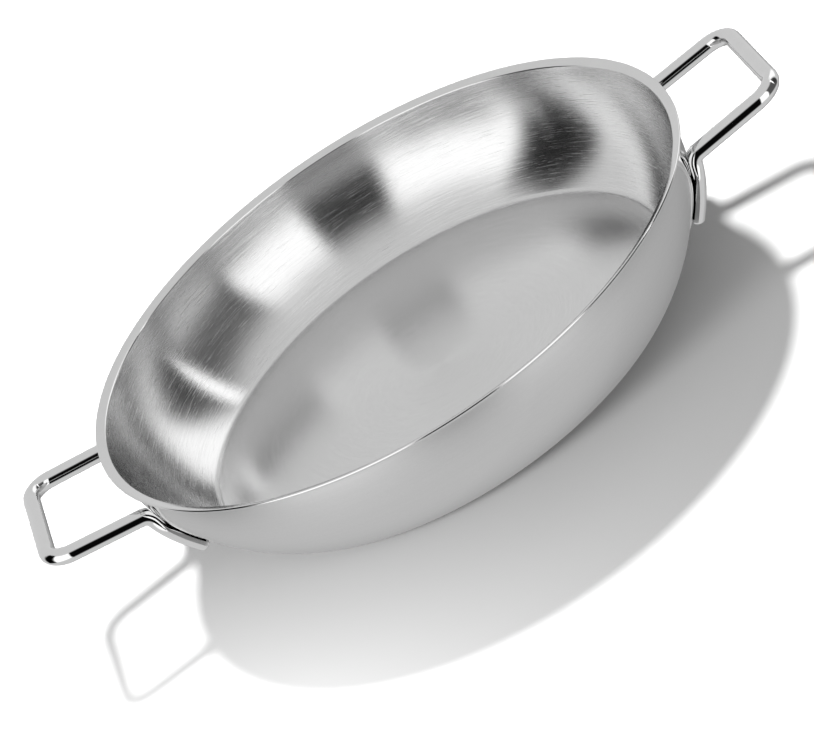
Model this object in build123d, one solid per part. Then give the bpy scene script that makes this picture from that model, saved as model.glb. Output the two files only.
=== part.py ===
"""Round stainless steel serving pan with two bent-rod handles.

The body is one deep-drawn sheet: a flat floor, a tight corner, a wall that swells like a bowl and
a short lip that flares outwards for pouring.  Under the floor an aluminium disc spreads the heat,
closed in by a steel cap.  Each handle is one round rod, bent to a loop, whose two legs are pressed
flat and welded to straps that hug the wall.

Millimetres.  The origin is at the middle of the base, +Z is up, and the handles lie along X.
"""

import os
from math import atan2, cos, degrees, hypot, pi, radians, sin, sqrt

from build123d import *

# Body
mouth_diameter = 240.0  # inside the neck, just under the lip
overall_height = 49.0  # table to the top of the lip
sheet = 1.0
lip_run = 3.5  # how far the lip reaches outwards
lip_rise = 1.6
lip_edge_bevel = 0.3
neck_round = 1.2  # under the lip, where it leaves the wall
wall_radius = 58.0  # the wall's swell, on the inside, seen in section
wall_top_tilt = 1.9  # degrees from upright, just under the lip
corner_radius = 3.0  # inside, between the wall and the floor

# Base
cap_thickness = 0.6
core_thickness = 2.0
base_diameter = 176.0
cap_edge_bevel = 0.5
core_gap = 0.05  # around the disc, inside the cap

# Handles
rod_diameter = 6.5
grip_reach = 36.6  # neck to the middle of the grip
grip_drop = 9.8  # top of the lip to the middle of the grip
grip_span = 61.0  # between the legs, at the grip
leg_splay = 1.4  # degrees that each leg turns outwards towards the pan
loop_tilt = 6.9  # degrees that the loop climbs away from the pan
grip_corner_radius = 9.5  # on the rod's middle line
leg_bend_radius = 9.0
leg_end_height = 10.6
leg_end_bevel = 1.2
leg_press = 3.0  # how much of the round rod is pressed flat against the strap

# Straps between the legs and the wall
strap_thickness = 2.2
strap_width = 7.6
strap_foot = 0.4  # how far the strap shows below the leg
strap_top_gap = 1.2  # between the strap and the lip


# The section of the body, as (radius, height) points

floor_height = cap_thickness + core_thickness + sheet
neck_radius = mouth_diameter / 2
neck_height = overall_height - lip_rise
tilt = radians(wall_top_tilt)

# The middle of the wall's arc lies inwards of the neck, square to the wall there.
wall_centre = (neck_radius - wall_radius * cos(tilt), neck_height + wall_radius * sin(tilt))

# The corner's arc touches the floor, and the wall's arc from within.
corner_height = floor_height + corner_radius
corner_reach = wall_radius - corner_radius
corner_centre = (
    wall_centre[0] + sqrt(corner_reach**2 - (wall_centre[1] - corner_height) ** 2),
    corner_height,
)
meeting_angle = atan2(corner_centre[1] - wall_centre[1], corner_centre[0] - wall_centre[0])


def on_arc(centre, radius, angle):
    """The point of a circle at an angle, in radians."""
    return (centre[0] + radius * cos(angle), centre[1] + radius * sin(angle))


def wall_radius_at(height, offset):
    """The radius of the wall at a height, with the inside face grown by an offset."""
    drop = wall_centre[1] - height
    return wall_centre[0] + sqrt((wall_radius + offset) ** 2 - drop**2)


def wall_point(height, offset, beside):
    """The point of the grown wall at a height, on the plane that lies beside the middle by a width."""
    return (sqrt(wall_radius_at(height, offset) ** 2 - beside**2), height)


def section_edge(start, middle, end):
    """An arc of the section, through three points."""
    return ThreePointArc(*[Vector(r, 0, z) for r, z in (start, middle, end)])


def section_line(*points):
    """Straight runs of the section."""
    return Polyline(*[Vector(r, 0, z) for r, z in points])


def wall_section(offset, top_height):
    """The floor, corner and wall of the inside face grown by an offset, up to a height.

    Returns the edges from the axis outwards, and the last point.
    """
    floor = floor_height - offset
    top = (wall_radius_at(top_height, offset), top_height)
    top_angle = atan2(top_height - wall_centre[1], top[0] - wall_centre[0])
    meeting = on_arc(wall_centre, wall_radius + offset, meeting_angle)
    foot = (corner_centre[0], floor)
    corner_middle = on_arc(corner_centre, corner_radius + offset, (meeting_angle - pi / 2) / 2)
    wall_middle = on_arc(wall_centre, wall_radius + offset, (meeting_angle + top_angle) / 2)
    edges = [
        section_line((0, floor), foot),
        section_edge(foot, corner_middle, meeting),
        section_edge(meeting, wall_middle, top),
    ]
    return edges, top


def spun(edges):
    """The solid that a closed section sweeps around the upright axis."""
    return revolve(make_face(edges), Axis.Z)


# Body

lip_length = hypot(lip_run, lip_rise)
lip_out = (lip_run / lip_length, lip_rise / lip_length)
lip_down = (lip_out[1] * sheet, -lip_out[0] * sheet)
lip_tip = (neck_radius + lip_run, overall_height)
lip_tip_under = (lip_tip[0] + lip_down[0], lip_tip[1] + lip_down[1])
lip_root_under = (neck_radius + lip_down[0], neck_height + lip_down[1])


def lip_underside_meets_wall():
    """Where the line under the lip runs into the outside of the wall."""
    from_centre = (lip_root_under[0] - wall_centre[0], lip_root_under[1] - wall_centre[1])
    along = from_centre[0] * lip_out[0] + from_centre[1] * lip_out[1]
    reach = (wall_radius + sheet) ** 2 - (from_centre[0] ** 2 + from_centre[1] ** 2) + along**2
    step = sqrt(reach) - along
    return (lip_root_under[0] + step * lip_out[0], lip_root_under[1] + step * lip_out[1])


neck_under = lip_underside_meets_wall()


def corner_near(face, point):
    """The corner of a section that lies nearest to a point."""
    return face.vertices().sort_by_distance(Vector(point[0], 0, point[1]))[0]


def make_pan_body():
    """The drawn sheet: floor, corner, swelling wall and flared lip."""
    inside, neck = wall_section(0, neck_height)
    outside, under = wall_section(sheet, neck_under[1])
    face = make_face(
        inside
        + [section_line(neck, lip_tip, lip_tip_under, under)]
        + outside
        + [section_line((0, floor_height), (0, floor_height - sheet))]
    )
    face = fillet(corner_near(face, under), neck_round)
    for tip in (lip_tip, lip_tip_under):
        face = chamfer(corner_near(face, tip), lip_edge_bevel)
    return revolve(face, Axis.Z)


# Base

base_radius = base_diameter / 2
base_top = floor_height - sheet


def make_heat_core():
    """The aluminium disc between the floor and the cap."""
    core = Cylinder(
        base_radius - cap_thickness - core_gap,
        core_thickness,
        align=(Align.CENTER, Align.CENTER, Align.MIN),
    )
    return Pos(0, 0, cap_thickness) * core


def make_base_cap():
    """The steel cap under the disc, turned up around its edge."""
    outer = Cylinder(base_radius, base_top, align=(Align.CENTER, Align.CENTER, Align.MIN))
    outer = chamfer(outer.edges().group_by(Axis.Z)[0], cap_edge_bevel)
    hollow = Cylinder(
        base_radius - cap_thickness, base_top, align=(Align.CENTER, Align.CENTER, Align.MIN)
    )
    return outer - Pos(0, 0, cap_thickness) * hollow


# Handles

rod_radius = rod_diameter / 2
grip_x = neck_radius + grip_reach
grip_height = overall_height - grip_drop
leg_offset = sheet + strap_thickness + rod_radius - leg_press
strap_top = neck_under[1] - strap_top_gap


def leg_bend_corner():
    """Where the loop's leg, led straight on, meets the line of the leg that lies on the wall.

    The loop falls towards the pan and its legs spread.  The wall leg climbs at the slope that the
    wall has half a bend radius under the meeting point, so both are found together.
    """
    height = grip_height - (grip_x - neck_radius) * sin(radians(loop_tilt))
    for _ in range(20):
        fall = grip_height - height
        run = fall / sin(radians(loop_tilt))
        beside = grip_span / 2 + run * sin(radians(leg_splay))
        reach = grip_x - run * cos(radians(loop_tilt)) * cos(radians(leg_splay))
        on_wall = wall_point(height, leg_offset, beside)[0]
        height -= (reach - on_wall) * sin(radians(loop_tilt))
    return Vector(on_wall, beside, height)


def leg_line():
    """The middle line of one leg on the wall, from its end up to the bend, as three points."""
    bend = leg_bend_corner()
    end_height = leg_end_height
    middle_height = (bend.Z + end_height) / 2
    points = []
    for height in (end_height, middle_height):
        reach = wall_point(height, leg_offset, bend.Y)[0]
        points.append(Vector(reach, bend.Y, height))
    # The swell of the wall pushes the middle corner out, so that the arc there follows it.
    swell = (bend.Z - end_height) ** 2 / (16 * (wall_radius + leg_offset))
    points[1] += Vector(swell, 0, 0)
    return points + [bend]


def make_handle():
    """The bent rod on the +X side, with its legs pressed flat on their straps."""
    far_leg = leg_line()
    near_leg = [Vector(p.X, -p.Y, p.Z) for p in far_leg]
    grip = [Vector(grip_x, y, grip_height) for y in (grip_span / 2, -grip_span / 2)]
    wall_bend = wall_radius + leg_offset
    bends = [wall_bend, leg_bend_radius, grip_corner_radius]
    path = FilletPolyline(*far_leg, *grip, *reversed(near_leg), radius=bends + bends[::-1])
    start = Plane(origin=path @ 0, z_dir=path % 0)
    rod = sweep(start * Circle(rod_radius), path)
    ends = rod.faces().filter_by(GeomType.PLANE)
    rod = chamfer(ends.edges(), leg_end_bevel)
    return rod - strap_envelope()


def strap_envelope():
    """The whole body of the pan, grown to the outer face of the straps."""
    edges, top = wall_section(sheet + strap_thickness, overall_height)
    closing = section_line(top, (0, overall_height), (0, floor_height - sheet - strap_thickness))
    return spun(edges + [closing])


def body_envelope():
    """The whole body of the pan, filled, up to the neck."""
    edges, top = wall_section(sheet, overall_height)
    closing = section_line(top, (0, overall_height), (0, floor_height - sheet))
    return spun(edges + [closing])


def make_strap():
    """The strap under the +X, +Y leg: a band of the grown wall with rounded ends."""
    bend = leg_bend_corner()
    foot = leg_end_height - strap_foot
    length = strap_top - foot
    window = Plane.YZ * Pos(bend.Y, foot + length / 2) * SlotOverall(length, strap_width, 90)
    block = extrude(window, 1.5 * neck_radius)
    return (strap_envelope() & block) - body_envelope()


def placed(shape, side, row):
    """A piece of the +X, +Y quarter, in the named side and row."""
    if (side, row) == ("left", "front"):
        return Rot(0, 0, 180) * shape
    if side == "left":
        return mirror(shape, Plane.YZ)
    if row == "front":
        return mirror(shape, Plane.XZ)
    return shape


handle = make_handle()
strap = make_strap()

nodes = {
    "pan_body": make_pan_body(),
    "heat_core": make_heat_core(),
    "base_cap": make_base_cap(),
    "handle_right": handle,
    "handle_left": Rot(0, 0, 180) * handle,
}
for side in ("left", "right"):
    for row in ("front", "rear"):
        nodes[f"strap_{side}_{row}"] = placed(strap, side, row)

os.makedirs("parts", exist_ok=True)
for name, shape in nodes.items():
    export_step(shape, f"parts/{name}.step")
    print(name, round(shape.volume / 1000, 2), "cm3")
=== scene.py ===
"""Round steel serving pan with two bent-rod handles, dressed and lit for a studio picture.

Every shape is a surface worked out with numpy, in millimetres, from the sizes that the part's
source has too, and goes into its mesh in metres.  The pan stands on its base at the origin, with
+Z up and the handles along X.
"""

from __future__ import annotations

import logging
from dataclasses import dataclass, field
from enum import Enum
from math import asin, atan2, cos, hypot, pi, radians, sin, sqrt

import bmesh
import bpy
import numpy as np
from mathutils import Matrix, Vector


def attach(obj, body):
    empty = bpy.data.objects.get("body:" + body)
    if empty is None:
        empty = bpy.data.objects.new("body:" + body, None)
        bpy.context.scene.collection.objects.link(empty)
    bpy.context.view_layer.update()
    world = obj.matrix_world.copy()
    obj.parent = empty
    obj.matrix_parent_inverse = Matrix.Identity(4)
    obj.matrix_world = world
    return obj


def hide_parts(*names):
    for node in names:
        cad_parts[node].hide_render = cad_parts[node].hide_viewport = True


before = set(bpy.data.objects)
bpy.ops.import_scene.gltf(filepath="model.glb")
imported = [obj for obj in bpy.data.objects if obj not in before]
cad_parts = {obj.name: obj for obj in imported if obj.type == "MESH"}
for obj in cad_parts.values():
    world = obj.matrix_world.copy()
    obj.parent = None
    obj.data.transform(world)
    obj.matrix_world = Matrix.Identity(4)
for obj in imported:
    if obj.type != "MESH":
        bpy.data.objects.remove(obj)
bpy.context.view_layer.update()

LOG = logging.getLogger("serving_pan")
METRE = 0.001  # the length of a millimetre, in metres
MERGE = 1e-7  # vertices nearer than this, in metres, become one
BODY = "root"  # the one body that every piece rides on

Shape = tuple[np.ndarray, list[list[int]]]  # vertices, and faces as lists of vertex numbers


# Shader nodes


class Value:
    """A number in a node tree, which adds Math nodes when it is used in an expression."""

    def __init__(self, graph: Graph, socket: bpy.types.NodeSocket) -> None:
        """Wraps an output socket of a node tree."""
        self.graph = graph
        self.socket = socket

    def math(self, operation: str, *others: Value | float) -> Value:
        """This number and others through one Math node.

        Args:
            operation: the Math node's operation.
            others: the operands after this one.

        Returns:
            The result.
        """
        inputs = dict(enumerate((self, *others)))
        node = self.graph.node("ShaderNodeMath", {"operation": operation}, inputs)
        return Value(self.graph, node.outputs[0])

    def __add__(self, other: Value | float) -> Value:
        """The sum."""
        return self.math("ADD", other)

    def __sub__(self, other: Value | float) -> Value:
        """The difference."""
        return self.math("SUBTRACT", other)

    def __mul__(self, other: Value | float) -> Value:
        """The product."""
        return self.math("MULTIPLY", other)

    def __truediv__(self, other: Value | float) -> Value:
        """The quotient."""
        return self.math("DIVIDE", other)

    def __rsub__(self, other: float) -> Value:
        """A plain number less this one."""
        return (self * -1.0) + other

    __radd__ = __add__
    __rmul__ = __mul__

    def between(self, low: float, high: float, soft: float) -> Value:
        """A mask that is 1 from low to high, with smooth edges of a width: rise times fall."""
        return self.rise(low, soft) * (1.0 - self.rise(high, soft))

    def rise(self, place: float, soft: float) -> Value:
        """A smooth step from 0 to 1.

        Args:
            place: where it is half way up.
            soft: its width.

        Returns:
            The step.
        """
        settings = {"interpolation_type": "SMOOTHSTEP"}
        inputs = {"Value": self, 1: place - soft / 2, 2: place + soft / 2, 3: 0.0, 4: 1.0}
        node = self.graph.node("ShaderNodeMapRange", settings, inputs)
        return Value(self.graph, node.outputs[0])

    def toward(self, target: Value | float, mask: Value) -> Value:
        """This number where the mask is 0, the target where it is 1, and in step between."""
        return self + (target - self) * mask


class Graph:
    """The nodes of one material, or of the world."""

    def __init__(self, tree: bpy.types.NodeTree) -> None:
        """Empties the tree of a material or of the world, to build in it."""
        self.tree = tree
        tree.nodes.clear()

    def node(
        self,
        kind: str,
        settings: dict[str, object] | None = None,
        inputs: dict[str | int, object] | None = None,
    ) -> bpy.types.Node:
        """Adds a node, with its settings first and then its inputs.

        Args:
            kind: the node's type.
            settings: the node's own properties.
            inputs: a number, colour, vector, socket or Value for each named or numbered input.

        Returns:
            The node.
        """
        made = self.tree.nodes.new(kind)
        for name, setting in (settings or {}).items():
            setattr(made, name, setting)
        for key, given in (inputs or {}).items():
            given = given.socket if isinstance(given, Value) else given
            if isinstance(given, bpy.types.NodeSocket):
                self.tree.links.new(given, made.inputs[key])
            else:
                made.inputs[key].default_value = given
        return made

    def place(self, output: str = "Object") -> tuple[Value, Value, Value]:
        """The three numbers of a Texture Coordinate output.

        Args:
            output: the name of the output.

        Returns:
            x, y and z.
        """
        source = self.node("ShaderNodeTexCoord")
        parts = self.node("ShaderNodeSeparateXYZ", None, {0: source.outputs[output]})
        return tuple(Value(self, parts.outputs[i]) for i in range(3))

    def noise(self, x: Value, y: Value, z: Value, detail: float = 2.0) -> Value:
        """Cloudy noise from 0 to 1 at a place, with cells one unit wide.

        Args:
            x: the place's first number.
            y: its second.
            z: its third.
            detail: how many finer layers are added.

        Returns:
            The noise.
        """
        place = self.node("ShaderNodeCombineXYZ", None, {0: x, 1: y, 2: z}).outputs[0]
        inputs = {"Vector": place, "Scale": 1.0, "Detail": detail, "Roughness": 0.55}
        return Value(self, self.node("ShaderNodeTexNoise", None, inputs).outputs[0])

    def grey(self, level: Value) -> bpy.types.NodeSocket:
        """A number as a grey colour."""
        node = self.node("ShaderNodeCombineColor", None, {0: level, 1: level, 2: level})
        return node.outputs[0]


# Finishes


class Grain(Enum):
    """The way that a finish's fine scratches run."""

    RINGS = "rings"  # around the pan's upright axis, as a lathe leaves them
    SATIN = "satin"  # fine grain with a slight run around the pan
    BUFFED = "buffed"  # polished, with only a trace of soft wheel marks


# Scratches around the pan, per unit of their direction from its axis, and across them, per mm
SCRATCHES = {Grain.RINGS: (9.0, 3.4), Grain.SATIN: (90.0, 2.0)}
BROAD_RINGS = (1.6, 0.8)
BROAD_DETAIL = 4.0
WHEEL_MARKS = (1.4, 0.12)  # per mm, the fine and the broad marks of a buffed finish
WHEEL_DETAIL = 3.0
AXIS_GAP = 0.001  # mm, keeps the division by the radius from zero
DASH_ROUGH = 0.25  # the roughness that a full dash adds
DASH_EDGE = (0.64, 0.14)  # the fine noise at which a dash begins, and the width of that step
SCRATCH_DEPTH = 0.00005  # metres


@dataclass(frozen=True)
class Steel:
    """A steel or aluminium finish, made of one metal shader.

    The scratches are noise on a stretched place.  For rings that place is the direction around
    the axis times the number of scratches around, and the distance along the section, radius plus
    height, times the number of scratches per millimetre.
    """

    name: str
    grain: Grain
    level: float  # how much light the bare metal reflects
    roughness: float
    anisotropy: float = 0.0
    turn: float = 0.0  # of the anisotropy, in whole turns
    tint: tuple[float, float, float] = (1.0, 1.0, 1.0)
    scratch: float = 0.0  # how deep the scratches cut into the level
    wander: float = 0.0  # how far the roughness wanders
    relief: float = 0.0  # strength of the bump
    dash: float = 0.0  # how far the strongest scratches stand out, bright and rough
    rings: float = 0.06  # how far the level changes from one broad ring to the next

    def scratches(self, graph: Graph) -> tuple[Value, Value]:
        """Fine and broad noise, each from 0 to 1, for this finish's grain.

        Args:
            graph: the material's nodes.

        Returns:
            The fine noise and the broad noise.
        """
        x, y, z = (part * (1 / METRE) for part in graph.place())
        if self.grain is Grain.BUFFED:
            near, far = WHEEL_MARKS
            fine = graph.noise(x * near, y * near, z * near, WHEEL_DETAIL)
            return fine, graph.noise(x * far, y * far, z * far)
        reach = (x * x + y * y).math("SQRT") + AXIS_GAP
        section = reach + z
        around, across = SCRATCHES[self.grain]
        fine = graph.noise(x / reach * around, y / reach * around, section * across)
        around, across = BROAD_RINGS
        broad = graph.noise(x / reach * around, y / reach * around, section * across, BROAD_DETAIL)
        return fine, broad

    def make(self) -> bpy.types.Material:
        """Builds the material.

        The reflected light is the level times 1 - s / 2 + s * fine, for the scratch s, and times
        the same of the broad noise for the rings.  The roughness wanders with both noises, and
        the peaks of the fine one add the dashes.

        Returns:
            The material, with its colour, roughness and bump from the scratches.
        """
        material = bpy.data.materials.new(self.name)
        material.use_nodes = True
        graph = Graph(material.node_tree)
        fine, broad = self.scratches(graph)
        level = self.level * (1.0 - self.scratch / 2 + self.scratch * fine)
        level = level * (1.0 - self.rings / 2 + self.rings * broad)
        red, green, blue = (level * part for part in self.tint)
        colour = graph.node("ShaderNodeCombineColor", None, {0: red, 1: green, 2: blue})
        rough = self.roughness + self.wander * (broad + fine - 1.0)
        if self.dash:
            rough = rough + self.dash * DASH_ROUGH * fine.rise(*DASH_EDGE)
        relief = {"Strength": self.relief, "Distance": SCRATCH_DEPTH, "Height": fine}
        bump = graph.node("ShaderNodeBump", None, relief)
        shader = graph.node(
            "ShaderNodeBsdfPrincipled",
            None,
            {
                "Base Color": colour.outputs[0],
                "Metallic": 1.0,
                "Roughness": rough,
                "Anisotropic": self.anisotropy,
                "Anisotropic Rotation": self.turn,
                "Normal": bump.outputs[0],
            },
        )
        graph.node("ShaderNodeOutputMaterial", None, {"Surface": shader.outputs[0]})
        return material


INSIDE = Steel(
    "brushed_inside",
    Grain.RINGS,
    level=0.70,
    roughness=0.18,
    anisotropy=0.955,
    turn=0.25,
    scratch=0.32,
    wander=0.07,
    relief=0.35,
    dash=0.5,
    rings=0.18,
)
FLOOR_INSIDE = Steel(
    "satin_inside_floor",
    Grain.RINGS,
    level=0.69,
    roughness=0.22,
    anisotropy=0.55,
    turn=0.25,
    scratch=0.12,
    wander=0.05,
    relief=0.10,
)
OUTSIDE = Steel(
    "satin_outside",
    Grain.SATIN,
    level=0.68,
    roughness=0.42,
    anisotropy=0.3,
    turn=0.25,
    scratch=0.08,
    wander=0.05,
    relief=0.10,
)
LIP = Steel("polished_lip", Grain.BUFFED, level=0.70, roughness=0.12, scratch=0.03, wander=0.02)
ROD = Steel(
    "polished_rod",
    Grain.BUFFED,
    level=0.72,
    roughness=0.06,
    scratch=0.03,
    wander=0.015,
    relief=0.02,
)
BASE = Steel(
    "turned_base",
    Grain.RINGS,
    level=0.62,
    roughness=0.34,
    anisotropy=0.6,
    turn=0.25,
    scratch=0.14,
    wander=0.08,
    relief=0.2,
)
CORE = Steel(
    "cast_aluminium",
    Grain.SATIN,
    level=0.80,
    roughness=0.45,
    tint=(1.0, 1.0, 0.99),
    scratch=0.1,
    wander=0.05,
)


# Shapes


def arc(
    centre: tuple[float, float], radius: float, start: float, end: float, count: int
) -> np.ndarray:
    """Points of a circle: centre + radius * (cos, sin) of angles in radians, spaced evenly."""
    angle = np.linspace(start, end, count)
    return np.column_stack((centre[0] + radius * np.cos(angle), centre[1] + radius * np.sin(angle)))


def rounded(points: np.ndarray, radii: np.ndarray, count: int) -> np.ndarray:
    """A run of straight lines with each inner corner replaced by an arc.

    The arc of radius r touches both lines r / tan(half) from the corner, where half is half the
    angle between them, and its middle lies r / sin(half) from the corner on their bisector.

    Args:
        points: the corners, first and last included, as rows.
        radii: one radius for each inner corner.
        count: points on each arc.

    Returns:
        The points of the rounded line, as rows.
    """
    back = points[:-2] - points[1:-1]
    on = points[2:] - points[1:-1]
    back /= np.linalg.norm(back, axis=1)[:, None]
    on /= np.linalg.norm(on, axis=1)[:, None]
    half = np.arccos(np.clip(np.sum(back * on, axis=1), -1, 1)) / 2
    touch = (radii / np.tan(half))[:, None]
    middle = back + on
    middle *= (radii / np.sin(half) / np.linalg.norm(middle, axis=1))[:, None]
    centre = points[1:-1] + middle
    first = points[1:-1] + back * touch - centre
    last = points[1:-1] + on * touch - centre
    sweep = (pi - 2 * half)[:, None]
    part = np.linspace(0, 1, count)[None, :]
    weight_first = np.sin((1 - part) * sweep) / np.sin(sweep)
    weight_last = np.sin(part * sweep) / np.sin(sweep)
    arcs = (
        centre[:, None, :]
        + weight_first[..., None] * first[:, None, :]
        + weight_last[..., None] * last[:, None, :]
    )
    return np.vstack((points[:1], arcs.reshape(-1, points.shape[1]), points[-1:]))


def grid_faces(rows: int, around: int) -> np.ndarray:
    """Four corners for each cell of a grid that closes on itself around.

    Args:
        rows: rows of vertices.
        around: vertices in a row.

    Returns:
        (rows - 1) * around rows of four vertex numbers.
    """
    row = np.arange(rows - 1)[:, None]
    column = np.arange(around)[None, :]
    after = (column + 1) % around
    corners = (
        row * around + column,
        row * around + after,
        (row + 1) * around + after,
        (row + 1) * around + column,
    )
    return np.stack([c.ravel() for c in corners], axis=1)


def closed_grid(grid: np.ndarray, first_pole: np.ndarray, last_pole: np.ndarray) -> Shape:
    """A grid that closes around, capped at both ends by a vertex.

    Args:
        grid: vertices as rows, around, xyz.
        first_pole: the vertex before the first row.
        last_pole: the vertex after the last row.

    Returns:
        The vertices, and the faces as lists of vertex numbers.
    """
    rows, around = grid.shape[:2]
    vertices = np.vstack((grid.reshape(-1, 3), first_pole[None, :], last_pole[None, :]))
    here = np.arange(around)
    after = (here + 1) % around
    end = (rows - 1) * around
    first = np.column_stack((np.full(around, rows * around), after, here))
    last = np.column_stack((np.full(around, rows * around + 1), end + here, end + after))
    faces = grid_faces(rows, around).tolist() + first.tolist() + last.tolist()
    return vertices, faces


def spin(profile: np.ndarray, around: int) -> Shape:
    """The surface that a profile of (radius, height) sweeps around the upright axis.

    A point (r, z) goes to (r cos a, r sin a, z) for each angle a.  The profile's first and last
    points lie on the axis and become the poles.

    Args:
        profile: the section, from the axis back to the axis.
        around: vertices in each ring.

    Returns:
        The vertices and faces.
    """
    angle = np.arange(around) * (2 * pi / around)
    ring = profile[1:-1]
    grid = np.stack(
        (
            ring[:, :1] * np.cos(angle),
            ring[:, :1] * np.sin(angle),
            np.repeat(ring[:, 1:], around, axis=1),
        ),
        axis=2,
    )
    poles = [np.array((0.0, 0.0, profile[i][1])) for i in (0, -1)]
    return closed_grid(grid, *poles)


def make_piece(
    name: str, vertices: np.ndarray, faces: list[list[int]], sharp: float = 30.0
) -> bpy.types.Object:
    """Puts a shape in millimetres into a mesh in metres, with its faces outwards.

    Args:
        name: the object's name.
        vertices: rows of xyz.
        faces: lists of vertex numbers.
        sharp: edges that turn more than these degrees stay crisp.

    Returns:
        The object, at the origin.
    """
    mesh = bpy.data.meshes.new(name)
    mesh.from_pydata((vertices * METRE).tolist(), [], faces)
    shell = bmesh.new()
    shell.from_mesh(mesh)
    bmesh.ops.remove_doubles(shell, verts=shell.verts, dist=MERGE)
    bmesh.ops.recalc_face_normals(shell, faces=shell.faces)
    shell.to_mesh(mesh)
    shell.free()
    mesh.shade_smooth()
    mesh.set_sharp_from_angle(angle=radians(sharp))
    piece = bpy.data.objects.new(name, mesh)
    bpy.context.scene.collection.objects.link(piece)
    return piece


def stand_for(piece: bpy.types.Object, node: str) -> None:
    """Makes a piece ride with the pan and stand for a node, whose solid it hides.

    Args:
        piece: the new object.
        node: the solid that it replaces.
    """
    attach(piece, BODY)
    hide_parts(node)
    LOG.info("%s: %d faces, stands for %s", piece.name, len(piece.data.polygons), node)


@dataclass
class Wall:
    """The drawn wall's section, which the body, straps and handles all follow."""

    neck_radius: float = 120.0
    overall_height: float = 49.0
    lip_run: float = 3.5
    lip_rise: float = 1.6
    sheet: float = 1.0
    swell_radius: float = 58.0  # inside face, seen in section
    top_tilt: float = 1.9  # degrees from upright, just under the lip
    corner_radius: float = 4.5  # inside face, between the wall and the floor
    floor_height: float = 3.6

    @property
    def neck_height(self) -> float:
        """Height of the bend between the wall and the lip."""
        return self.overall_height - self.lip_rise

    @property
    def neck(self) -> np.ndarray:
        """The bend between the wall and the lip, on the inside, as (radius, height)."""
        return np.array((self.neck_radius, self.neck_height))

    @property
    def lip_out(self) -> np.ndarray:
        """The direction along the lip, outwards."""
        return np.array((self.lip_run, self.lip_rise)) / hypot(self.lip_run, self.lip_rise)

    @property
    def lip_down(self) -> np.ndarray:
        """The direction square to the lip, from its face to its underside."""
        return np.array((self.lip_out[1], -self.lip_out[0]))

    @property
    def centre(self) -> tuple[float, float]:
        """The middle of the wall's arc, square to the wall at the neck.

        Returns:
            Its radius and height.
        """
        tilt = radians(self.top_tilt)
        reach = self.neck_radius - self.swell_radius * cos(tilt)
        return (reach, self.neck_height + self.swell_radius * sin(tilt))

    @property
    def corner(self) -> tuple[float, float]:
        """The middle of the arc between the wall and the floor, which touches both from within.

        Returns:
            Its radius and height.
        """
        height = self.floor_height + self.corner_radius
        reach = self.swell_radius - self.corner_radius
        across = sqrt(reach**2 - (self.centre[1] - height) ** 2)
        return (self.centre[0] + across, height)

    @property
    def meeting(self) -> float:
        """The angle at which the corner's arc meets the wall's, seen from both middles."""
        return atan2(self.corner[1] - self.centre[1], self.corner[0] - self.centre[0])

    def reach(self, height: np.ndarray | float, offset: float) -> np.ndarray | float:
        """The wall's radius at a height, with the inside face grown by an offset."""
        drop = self.centre[1] - height
        return self.centre[0] + np.sqrt((self.swell_radius + offset) ** 2 - drop**2)


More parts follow.
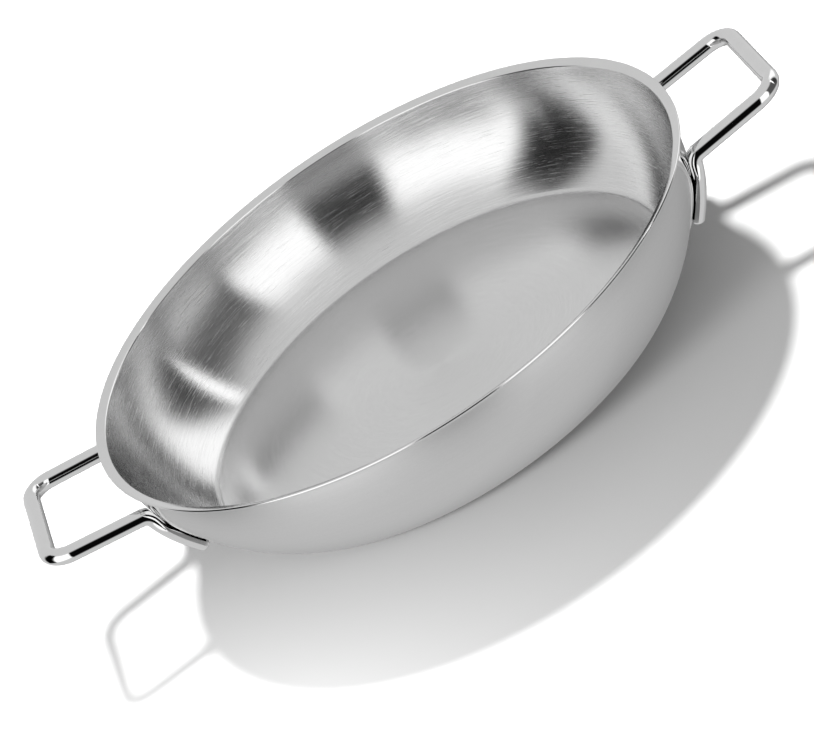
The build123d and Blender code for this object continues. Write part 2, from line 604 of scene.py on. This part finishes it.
@dataclass
class PanBody:
    """The drawn sheet: floor, corner, swelling wall and flared lip."""

    wall: Wall = field(default_factory=Wall)
    lip_edge: float = 0.43  # roundness of the lip's edge
    neck_inside: float = 0.7  # bend radius between the wall and the lip, inside
    neck_outside: float = 1.2
    strap_room: float = 0.6  # how far a strap may reach up past the foot of the round there
    around: int = 400
    floor_rows: int = 24
    corner_rows: int = 14
    wall_rows: int = 60
    neck_rows: int = 9
    edge_rows: int = 7
    neck_taken: int = 4  # rows of the wall that make way for the bend at the neck

    def neck_fillet(self) -> tuple[np.ndarray, float]:
        """The round under the lip, which touches the lip's underside and the outside of the wall.

        Its middle lies as far from the underside as its radius, and as far from the wall's centre
        as the wall's outer radius and its own together.

        Returns:
            The arc's points from the lip to the wall, and the angle of the last one seen from the
            wall's centre.
        """
        wall = self.wall
        out, down = wall.lip_out, wall.lip_down
        root = wall.neck + down * wall.sheet
        start = root + down * self.neck_outside - np.array(wall.centre)
        outer = wall.swell_radius + wall.sheet
        along = start @ out
        step = -along + sqrt(along**2 - start @ start + (outer + self.neck_outside) ** 2)
        middle = start + step * out
        first = atan2(-down[1], -down[0])
        last = atan2(-middle[1], -middle[0])
        first = first - 2 * pi if first - last > pi else first
        last = last + 2 * pi if last < first - pi else last
        centre = tuple(middle + np.array(wall.centre))
        points = arc(centre, self.neck_outside, first, last, self.neck_rows)
        return points, atan2(middle[1], middle[0])

    def under_lip(self) -> float:
        """The height up to which a strap may reach on the outside of the wall."""
        return float(self.neck_fillet()[0][-1][1]) + self.strap_room

    def profile(self) -> tuple[np.ndarray, list[int]]:
        """The closed section, from the axis along the inside, over the lip and back underneath.

        Returns:
            The points as (radius, height), and the row at which each next surface begins: the
            wall, the lip and the outside.
        """
        wall = self.wall
        middle = wall.meeting
        reach = np.linspace(0, wall.corner[0], self.floor_rows)
        floor = np.column_stack((reach, np.full(self.floor_rows, wall.floor_height)))
        corner = arc(wall.corner, wall.corner_radius, -pi / 2, middle, self.corner_rows)
        top = asin((wall.neck_height - wall.centre[1]) / wall.swell_radius)
        inside = arc(wall.centre, wall.swell_radius, middle, top, self.wall_rows)
        inside, bend_start = inside[1 : -self.neck_taken], inside[-self.neck_taken]
        tip = np.array((wall.neck_radius + wall.lip_run, wall.overall_height))
        tip_under = tip + wall.lip_down * wall.sheet
        fillet, under = self.neck_fillet()
        bends = np.array((bend_start, wall.neck, tip, tip_under, fillet[0]))
        radii = np.array((self.neck_inside, self.lip_edge, self.lip_edge))
        lip = rounded(bends, radii, self.edge_rows)[1:-1]
        outer = wall.swell_radius + wall.sheet
        outside = arc(wall.centre, outer, under, middle, self.wall_rows)
        turned = wall.corner_radius + wall.sheet
        heel = arc(wall.corner, turned, middle, -pi / 2, self.corner_rows)
        floor_under = floor[::-1] - np.array((0, wall.sheet))
        runs = [floor, corner[1:], inside, lip, fillet, outside[1:], heel[1:], floor_under[1:]]
        starts = np.cumsum([len(run) for run in runs])
        return np.vstack(runs), [int(starts[0]), int(starts[2]), int(starts[3]) - 1]

    def build(self) -> None:
        """Spins the section and gives each surface its finish, and both poles those beside them."""
        profile, starts = self.profile()
        piece = make_piece("pan_shell", *spin(profile, self.around), sharp=38.0)
        finishes = (FLOOR_INSIDE, INSIDE, LIP, OUTSIDE)
        for steel in finishes:
            piece.data.materials.append(steel.make())
        rows = np.arange(len(profile) - 3).repeat(self.around)
        poles = np.repeat((0, len(finishes) - 1), self.around)
        number = np.concatenate((np.digitize(rows, starts), poles))
        piece.data.polygons.foreach_set("material_index", number.astype(np.int32))
        stand_for(piece, "pan_body")


@dataclass
class BaseCap:
    """The steel cap under the disc that spreads the heat, turned up around its edge."""

    radius: float = 88.0
    thickness: float = 0.6
    height: float = 2.6
    edge: float = 0.5
    outer_ring: float = 60.0  # radius of the last plain ring of the bottom
    inner_ring: float = 40.0  # and of the one in the hollow
    rings: int = 14
    edge_rows: int = 8
    around: int = 400

    def build(self) -> None:
        """Spins the cap's section: bottom, rounded edge, side, rim and hollow."""
        inner, ring = self.radius - self.thickness, self.outer_ring
        corners = np.array(((ring, 0.0), (self.radius, 0.0), (self.radius, self.height)))
        edge = rounded(corners, np.array((self.edge,)), self.edge_rows)
        bottom = [(r, 0.0) for r in np.linspace(0, ring, self.rings)[:-1]]
        top = self.thickness
        hollow = [(inner, self.height), (inner, top), (self.inner_ring, top), (0.0, top)]
        piece = make_piece("base_cap_shell", *spin(np.vstack((bottom, edge, hollow)), self.around))
        piece.data.materials.append(BASE.make())
        stand_for(piece, "base_cap")


class Side(Enum):
    """The side of the pan that a handle is on, as the sign of X."""

    RIGHT = 1
    LEFT = -1


class Row(Enum):
    """The leg of a handle that a strap is under, as the sign of Y."""

    REAR = 1
    FRONT = -1


@dataclass
class Handle:
    """One round rod bent to a loop, its legs pressed flat against their straps."""

    side: Side
    wall: Wall = field(default_factory=Wall)
    rod: float = 6.48
    grip_reach: float = 36.6  # from the neck to the middle of the grip
    grip_drop: float = 9.8  # from the top of the lip to the middle of the grip
    grip_span: float = 61.0
    splay: float = 1.4  # degrees that each leg turns outwards towards the pan
    tilt: float = 6.9  # degrees that the loop climbs away from the pan
    grip_corner: float = 9.5
    leg_bend: float = 3.9
    leg_end: float = 11.8  # height of the leg's lower end
    end_round: float = 1.2
    offset: float = 3.45  # from the inside face of the wall to the middle of the leg
    ridge_reach: float = 4.6  # from the middle of the pressed leg to its ridge
    ridge_drop: float = 0.3  # from the middle of the leg in to the ridge
    crown: float = 3.7  # from the ridge out to the top of the pressed leg
    inset: float = 0.8  # how much narrower the leg is where it meets the strap
    side_turn: float = 0.25 * pi  # part of the section that each side below a ridge takes
    press_from: float = 1.5  # below the bend's corner, where the rod begins to flatten
    press_over: float = 7.5  # and the height over which it does
    strap: float = 0.8  # thickness of the strap under the leg
    bite: float = 0.1  # how deep the leg sits in the strap
    meeting_steps: int = 20
    bend_rows: int = 22
    end_rows: int = 8
    spacing: float = 1.5  # between sections, where the bends don't need more
    spaced_from: float = 2.0  # from each end
    look: float = 0.4  # how far ahead and behind the direction is taken
    around: int = 56

    def bend_corner(self) -> np.ndarray:
        """Where the loop's leg, led straight on, meets the line of the leg on the wall.

        Going in from the grip, the leg falls at the tilt and spreads at the splay, and the height
        is moved until the leg meets the grown wall there.

        Returns:
            The corner, on the side of +X and +Y.
        """
        wall = self.wall
        grip = wall.overall_height - self.grip_drop
        height = grip - self.grip_reach * sin(radians(self.tilt))
        for _ in range(self.meeting_steps):
            run = (grip - height) / sin(radians(self.tilt))
            beside = self.grip_span / 2 + run * sin(radians(self.splay))
            inward = run * cos(radians(self.tilt)) * cos(radians(self.splay))
            reach = wall.neck_radius + self.grip_reach - inward
            on_wall = sqrt(wall.reach(height, self.offset) ** 2 - beside**2)
            height -= (reach - on_wall) * sin(radians(self.tilt))
        return np.array((on_wall, beside, height))

    def path(self) -> np.ndarray:
        """The rod's middle line, from the end of the +Y leg around to the end of the -Y leg.

        The wall swells by h^2 / 16 R over a leg of height h, so the corner half way up moves out
        by that much, and the arc there follows the wall.

        Returns:
            The points, as rows.
        """
        wall = self.wall
        bend = self.bend_corner()
        heights = np.array((self.leg_end, (self.leg_end + bend[2]) / 2))
        reach = np.sqrt(wall.reach(heights, self.offset) ** 2 - bend[1] ** 2)
        reach[1] += (bend[2] - self.leg_end) ** 2 / (16 * (wall.swell_radius + self.offset))
        leg = np.column_stack((reach, np.full(2, bend[1]), heights))
        grip_x = wall.neck_radius + self.grip_reach
        grip = (grip_x, self.grip_span / 2, wall.overall_height - self.grip_drop)
        half = np.vstack((leg, bend, grip))
        line = np.vstack((half, half[::-1] * np.array((1, -1, 1))))
        radii = np.array((wall.swell_radius + self.offset, self.leg_bend, self.grip_corner))
        return rounded(line, np.concatenate((radii, radii[::-1])), self.bend_rows)

    def pressed(self, angle: np.ndarray) -> tuple[np.ndarray, np.ndarray]:
        """The section of the leg on the wall: a low arch over a ridge, drawn in below it.

        The arch is an arc over the ridge's width, so its radius is (w^2 + h^2) / 2h for half the
        width w and the crown h.  Below the ridge the side leans in to the flat on the strap.

        Args:
            angle: places around the section, in radians from one ridge over the crown.

        Returns:
            Beside and above the leg's middle, in millimetres, for each angle.
        """
        half, high = self.ridge_reach, self.crown
        radius = (half**2 + high**2) / (2 * high)
        drop = radius - high
        first = asin(drop / radius)
        turn = first + (pi - 2 * first) * angle / pi
        low = self.offset - self.ridge_drop - self.wall.sheet - self.strap
        under = 2 * pi - angle
        share = np.clip(np.minimum(under, pi - under) / self.side_turn, 0, 1)
        flat = np.clip((under - self.side_turn) / (pi - 2 * self.side_turn), 0, 1)
        wide = (half - self.inset * share) * (1 - 2 * flat)
        over = np.arange(len(angle)) <= len(angle) // 2
        beside = np.where(over, radius * np.cos(turn), wide)
        above = np.where(over, radius * np.sin(turn) - drop, -low * share)
        return beside, above - self.ridge_drop

    def stations(self) -> tuple[np.ndarray, np.ndarray, np.ndarray]:
        """Where the sections stand along the path.

        At a distance d from an end, less than the end's roundness e, the section is as much
        smaller as e - sqrt(e^2 - (e - d)^2) is to the rod's radius.

        Returns:
            The sections' middles, the rod's direction there, and their size, up to 1.
        """
        path = self.path()
        steps = np.linalg.norm(np.diff(path, axis=0), axis=1)
        length = np.concatenate(((0.0,), np.cumsum(steps)))
        whole, end = length[-1], self.end_round

        def place(at: np.ndarray) -> np.ndarray:
            """The points of the path at distances along it."""
            return np.column_stack([np.interp(at, length, path[:, i]) for i in range(3)])

        cap = end * (1 - np.cos(np.linspace(0, pi / 2, self.end_rows)))
        inner = (length > end) & (length < whole - end)
        spaced = np.arange(self.spaced_from, whole - self.spaced_from, self.spacing)
        middle = np.unique(np.round(np.concatenate((length[inner], spaced)), 3))
        at = np.concatenate((cap, middle, whole - cap[::-1]))
        along = place(at + self.look) - place(at - self.look)
        along /= np.linalg.norm(along, axis=1)[:, None]
        left = np.clip(end - np.minimum(at, whole - at), 0, None)
        size = 1 - (end - np.sqrt(end**2 - left**2)) / (self.rod / 2)
        return place(at), along, size

    def surface(self) -> Shape:
        """A circle carried along the path, drawn in at both ends, which turns to the leg's section.

        The loop's own plane gives the section's upright direction all the way, so that the ridges
        run straight.  A point that would lie inside the strap is moved straight out from the
        pan's axis.

        Returns:
            The vertices and faces.
        """
        centre, along, size = self.stations()
        tilt = radians(self.tilt)
        loop_up = np.array((-sin(tilt), 0.0, cos(tilt)))
        bent = np.cross(along, np.array((0.0, 1.0, 0.0))) * np.sign(centre[:, 1:2])
        up = np.where(np.abs(along[:, 1:2]) < 0.3, bent, loop_up)  # bent on the legs alone
        across = np.cross(along, up)
        across /= np.linalg.norm(across, axis=1)[:, None]
        up = np.cross(across, along)
        angle = np.arange(self.around) * (2 * pi / self.around)
        beside, above = self.pressed(angle)
        start = self.bend_corner()[2] - self.press_from
        part = np.clip((start - centre[:, 2]) / self.press_over, 0, 1)
        part = (part * part * (3 - 2 * part))[:, None]
        wide = self.rod / 2 * np.cos(angle) * (1 - part) + beside * part
        high = self.rod / 2 * np.sin(angle) * (1 - part) + above * part
        grid = (
            centre[:, None, :]
            + (size[:, None] * wide)[..., None] * across[:, None, :]
            - (size[:, None] * high)[..., None] * up[:, None, :]
        )
        vertices, faces = closed_grid(grid, centre[0], centre[-1])
        face = self.wall.reach(vertices[:, 2], self.wall.sheet + self.strap - self.bite)
        grow = np.maximum(1.0, face / np.hypot(vertices[:, 0], vertices[:, 1]))
        vertices[:, :2] *= grow[:, None] * self.side.value
        return vertices, faces

    def build(self) -> None:
        """Makes the handle and polishes it."""
        name = self.side.name.lower()
        piece = make_piece(f"handle_rod_{name}", *self.surface(), sharp=36.0)
        piece.data.materials.append(ROD.make())
        stand_for(piece, f"handle_{name}")


@dataclass
class Strap:
    """The thin plate between one leg and the wall, which flares out towards the lip."""

    handle: Handle
    row: Row
    half_foot: float = 5.6  # from the leg's middle to each side, at the foot
    flare: float = 14.2  # how much further the outer side reaches under the lip
    flare_inside: float = 2.0  # and the side that faces the other leg
    flare_from: float = 13.0  # height at which the sides begin to part
    power: float = 2.2
    foot: float = 0.4  # how far the plate shows below the leg
    foot_round: float = 2.6
    foot_edge: float = 1.2  # height of the rounded edge at the foot
    top_gap: float = 0.3
    bevel: float = 1.7  # width of the rounded edge
    thin: float = 0.3  # thickness under the lip
    thin_from: float = 28.0  # height at which the plate begins to thin
    thin_over: float = 12.0
    sunk: float = 0.03  # how deep the plate's back sits in the wall
    foot_rows: int = 14
    rows: int = 60
    edge_columns: int = 10
    columns: int = 21

    def surface(self, top: float) -> Shape:
        """A rounded plate carried up the wall, thinner and wider towards the lip.

        A side's distance from the leg's middle is the half width at the foot plus the flare times
        a power of the part of the way up.  Over a distance d from an edge, less than the bevel b,
        the depth is the thickness times sqrt(1 - (1 - d / b)^2).

        Args:
            top: the height of the plate's upper end.

        Returns:
            The vertices and faces.
        """
        wall = self.handle.wall
        low = self.handle.leg_end - self.foot
        foot = self.foot_round * (1 - np.cos(np.linspace(0, pi / 2, self.foot_rows)))
        height = np.linspace(low + self.foot_round, top, self.rows)[1:]
        height = np.concatenate((low + foot, height))
        near = height - low
        way = np.clip((height - self.flare_from) / (top - self.flare_from), 0, 1)
        cut = np.clip(self.foot_round - near, 0, None)
        base = self.half_foot - self.foot_round + np.sqrt(self.foot_round**2 - cut**2)
        outside = (base + self.flare * way**self.power)[:, None]
        inside = (base + self.flare_inside * way**self.power)[:, None]
        fade = np.clip((height - self.thin_from) / self.thin_over, 0, 1)
        thick = self.handle.strap + (self.thin - self.handle.strap) * fade * fade * (3 - 2 * fade)
        thick = (thick * np.sqrt(1 - np.clip(1 - near / self.foot_edge, 0, 1) ** 2))[:, None]
        turn = np.linspace(0, pi / 2, self.edge_columns)[None, :]
        edge = self.bevel * (1 - np.cos(turn))
        share = np.linspace(0, 1, self.columns)[None, :]
        middle = outside - self.bevel - share[:, 1:-1] * (outside + inside - 2 * self.bevel)
        back = share * (outside + inside) - inside
        rise = thick * np.sin(turn)
        flat = np.repeat(thick, self.columns - 2, axis=1)
        depth = np.hstack((rise, flat, rise[:, ::-1], np.full(back.shape, -self.sunk)))
        y = np.hstack((outside - edge, middle, edge[:, ::-1] - inside, back))
        y = self.handle.bend_corner()[1] + y
        z = np.repeat(height[:, None], y.shape[1], axis=1)
        x = np.sqrt(wall.reach(z, wall.sheet + depth) ** 2 - y**2)
        grid = np.stack((x * self.handle.side.value, y * self.row.value, z), axis=2)
        return closed_grid(grid, grid[0].mean(axis=0), grid[-1].mean(axis=0))

    def build(self, under_lip: float) -> None:
        """Makes the strap and polishes it.

        Args:
            under_lip: the height up to which the wall is free.
        """
        side, row = self.handle.side.name.lower(), self.row.name.lower()
        surface = self.surface(under_lip - self.top_gap)
        piece = make_piece(f"strap_band_{side}_{row}", *surface, sharp=40.0)
        piece.data.materials.append(ROD.make())
        stand_for(piece, f"strap_{side}_{row}")


# Studio


STEEL_REFLECTS = 0.68  # part of the light that the pan's steel gives back
PATCH_TOP = 1.02  # cosine at which a dim patch would be whole, just past its middle
WEDGE_TIP = 0.05  # width of a wedge at its point, as a part of its full width
SLANT_POWER = 2.69


def steel_level(shade: float) -> float:
    """The light that a surface of bare steel turns into a shade of the picture.

    Args:
        shade: the shade, from 0 to 255.

    Returns:
        The light, by the sRGB curve and the steel's own reflection.
    """
    part = shade / 255
    linear = part / 12.92 if part <= 0.04045 else ((part + 0.055) / 1.055) ** 2.4
    return linear / STEEL_REFLECTS


@dataclass(frozen=True)
class Panel:
    """A soft-edged light or dark board around the pan, by direction.

    The bearing is in degrees from straight towards the camera's side (-Y), positive towards the
    right-hand handle (+X), and the climb is in degrees above the horizon.  A slanted board's
    bearing grows with a power of the climb.
    """

    name: str
    bearing: tuple[float, float]
    climb: tuple[float, float]
    shade: float  # as the steel shows it, 0 to 255
    soft: float = 8.0  # width of the upright edges
    fade: float = 12.0  # width of the level edges
    slant: float = 0.0  # degrees of bearing for one degree of climb to the slant's power
    narrow_below: float | None = None  # climb at which a wedge's point is, if it is a wedge

    def mask(self, bearing: Value, climb: Value) -> Value:
        """Where the board is, from 0 to 1.

        A wedge's bearing from its middle is stretched by its height over the climb from its point
        to a direction, so that the board narrows to that point.

        Args:
            bearing: each direction's bearing.
            climb: its climb.

        Returns:
            The mask.
        """
        across = bearing
        if self.slant:
            across = bearing - climb.math("MAXIMUM", 0.0).math("POWER", SLANT_POWER) * self.slant
        low, high = self.bearing
        if self.narrow_below is not None:
            tall = self.climb[1] - self.narrow_below
            way = (climb - self.narrow_below).math("MAXIMUM", WEDGE_TIP * tall) * (1 / tall)
            middle = (low + high) / 2
            across = (across - middle) / way + middle
        return across.between(low, high, self.soft) * climb.between(*self.climb, self.fade)


@dataclass(frozen=True)
class Dimness:
    """A round darker patch of the surroundings, fading out with the angle from its middle."""

    name: str
    bearing: float
    climb: float
    shade: float
    spread: float  # degrees to where it ends

    def middle(self) -> tuple[float, float, float]:
        """The direction of the patch's middle: sin a cos e, -cos a cos e, sin e."""
        a, e = radians(self.bearing), radians(self.climb)
        return (sin(a) * cos(e), -cos(a) * cos(e), sin(e))


@dataclass
class Studio:
    """The surroundings that the steel mirrors, the lamps and the floor."""

    backdrop: float = 1.2  # light of what shows beyond the floor, seen straight on
    surround: float = 192.0  # shades of the surroundings above and below the horizon
    below: float = 190.0
    horizon: float = 12.0  # degrees over which one turns to the other
    # Each panel's name, bearing, climb, shade, soft, fade, slant and narrow_below
    panels: tuple[Panel, ...] = (
        Panel("bright_left", (-77, -19), (-24, 42), 262, 12, 14),
        Panel("bright_right", (13.5, 49.5), (-24, 43), 262, 5, 14),
        Panel("grey_right", (50, 112), (-24, 42), 78, 6, 14),
        Panel("dark_right", (92, 108), (-6, 27), 50, 10, 10),
        Panel("streak_right", (82.4, 93.0), (0, 47), 275, 2.0, 5, 0.00072, 0.0),
        Panel("bright_far_right", (117, 146), (6, 46), 250, 10, 12),
        Panel("dark_left", (-113, -77), (-28, 48), 0, 11, 10),
        Panel("dark_front", (-18.5, 13.5), (-33, 45), 6, 6, 18),
    )
    # Each patch's name, bearing, climb, shade and spread
    dims: tuple[Dimness, ...] = (
        Dimness("dim_low_back", 168, -38, 120, 43),
        Dimness("dim_low_right", 128, -52, 164, 27),
    )
    key_from: tuple[float, float, float] = (0.0, 0.64, 0.49)
    key_strength: float = 13.0
    key_spread: float = 6.5  # degrees across, as the pan sees it
    fill_at: tuple[float, float, float] = (-0.20, -0.24, 0.13)
    fill_power: float = 3.2
    fill_radius: float = 0.05
    floor_size: float = 12.0
    floor_drop: float = 0.0002  # under the base, so that the two don't share a plane
    floor_level: float = 0.45

    def surroundings(self) -> None:
        """Builds the world: an even grey with the patches and panels mixed in, one by one.

        The bearing is the arctangent of x over -y, and the climb is the arcsine of z.  The pan
        and the floor see this world, and behind them the picture shows a plain pale backdrop.
        """
        world = bpy.data.worlds.new("studio")
        bpy.context.scene.world = world
        world.use_nodes = True
        graph = Graph(world.node_tree)
        x, y, z = graph.place("Generated")
        bearing = x.math("ARCTAN2", y * -1.0) * (180 / pi)
        climb = z.math("ARCSINE") * (180 / pi)
        above = climb.rise(0.0, self.horizon)
        light = above * (steel_level(self.surround) - steel_level(self.below))
        light = light + steel_level(self.below)
        for dim in self.dims:
            east, north, up = dim.middle()
            near = x * east + y * north + z * up
            end = cos(radians(dim.spread))
            mask = near.rise((end + PATCH_TOP) / 2, PATCH_TOP - end)
            light = light.toward(steel_level(dim.shade), mask)
        for panel in self.panels:
            light = light.toward(steel_level(panel.shade), panel.mask(bearing, climb))
        seen = Value(graph, graph.node("ShaderNodeLightPath").outputs["Is Camera Ray"])
        light = light.toward(self.backdrop, seen)
        inputs = {"Color": graph.grey(light), "Strength": 1.0}
        sky = graph.node("ShaderNodeBackground", None, inputs)
        graph.node("ShaderNodeOutputWorld", None, {"Surface": sky.outputs[0]})

    def key(self) -> None:
        """Adds the low lamp behind the pan, which throws its shadow towards the camera."""
        lamp = bpy.data.lights.new("key", "SUN")
        lamp.energy = self.key_strength
        lamp.angle = radians(self.key_spread)
        light = bpy.data.objects.new("key", lamp)
        light.rotation_euler = Vector(self.key_from).to_track_quat("Z", "Y").to_euler()
        light.visible_glossy = False
        bpy.context.scene.collection.objects.link(light)

    def fill(self) -> None:
        """Adds the soft lamp at the front left, which lightens that end of the shadow."""
        lamp = bpy.data.lights.new("fill", "POINT")
        lamp.energy = self.fill_power
        lamp.shadow_soft_size = self.fill_radius
        light = bpy.data.objects.new("fill", lamp)
        light.location = self.fill_at
        light.visible_glossy = False
        light.visible_camera = False
        bpy.context.scene.collection.objects.link(light)

    def floor(self) -> None:
        """Lays the plain pale floor under the pan."""
        half, low = self.floor_size / 2, -self.floor_drop
        corners = [(-half, -half, low), (half, -half, low), (half, half, low), (-half, half, low)]
        mesh = bpy.data.meshes.new("studio_floor")
        mesh.from_pydata(corners, [], [(0, 1, 2, 3)])
        floor = bpy.data.objects.new("studio_floor", mesh)
        material = bpy.data.materials.new("pale_floor")
        material.use_nodes = True
        graph = Graph(material.node_tree)
        level = (self.floor_level, self.floor_level, self.floor_level, 1.0)
        paper = graph.node("ShaderNodeBsdfDiffuse", None, {"Color": level})
        graph.node("ShaderNodeOutputMaterial", None, {"Surface": paper.outputs[0]})
        mesh.materials.append(material)
        floor.visible_glossy = False
        bpy.context.scene.collection.objects.link(floor)

    def build(self) -> None:
        """Sets up the surroundings, the two lamps, the floor and the plain picture tones."""
        self.surroundings()
        self.key()
        self.fill()
        self.floor()
        bpy.context.scene.view_settings.view_transform = "Standard"
        LOG.info("studio: %d panels, %d dim patches", len(self.panels), len(self.dims))


@dataclass
class Camera:
    """The camera of the photograph, found by fitting the pan's outlines, in metres and degrees."""

    place: tuple[float, float, float] = (0.04114, -1.15344, 0.60807)
    bearing: float = 2.686
    climb: float = 27.473
    roll: float = 34.589
    lens: float = 154.8  # millimetres
    sensor: float = 36.0  # millimetres across
    sees_to: float = 20.0

    def build(self) -> None:
        """Makes the camera and hands it to the scene.

        The view direction falls at the climb, turned by the bearing, and the picture is then
        turned about it by the roll.
        """
        a, e, t = (radians(v) for v in (self.bearing, self.climb, self.roll))
        ahead = Vector((-sin(a) * cos(e), cos(a) * cos(e), -sin(e)))
        right = Vector((cos(a), sin(a), 0.0))
        up = Vector((-sin(a) * sin(e), cos(a) * sin(e), cos(e)))
        across = cos(t) * right - sin(t) * up
        upwards = sin(t) * right + cos(t) * up
        data = bpy.data.cameras.new("photo_camera")
        data.lens = self.lens
        data.sensor_width = self.sensor
        data.clip_end = self.sees_to
        camera = bpy.data.objects.new("photo_camera", data)
        turn = Matrix((across, upwards, -ahead)).transposed()
        camera.matrix_world = Matrix.Translation(self.place) @ turn.to_4x4()
        bpy.context.scene.collection.objects.link(camera)
        bpy.context.scene.camera = camera


def main() -> None:
    """Builds the camera, the studio and every piece of the pan."""
    logging.basicConfig(level=logging.INFO, format="%(name)s %(message)s")
    Camera().build()
    Studio().build()
    body = PanBody()
    body.build()
    BaseCap().build()
    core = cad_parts["heat_core"]
    core.data.materials.clear()
    core.data.materials.append(CORE.make())
    for side in Side:
        handle = Handle(side)
        handle.build()
        for row in Row:
            Strap(handle, row).build(body.under_lip())


if __name__ == "__main__":
    main()
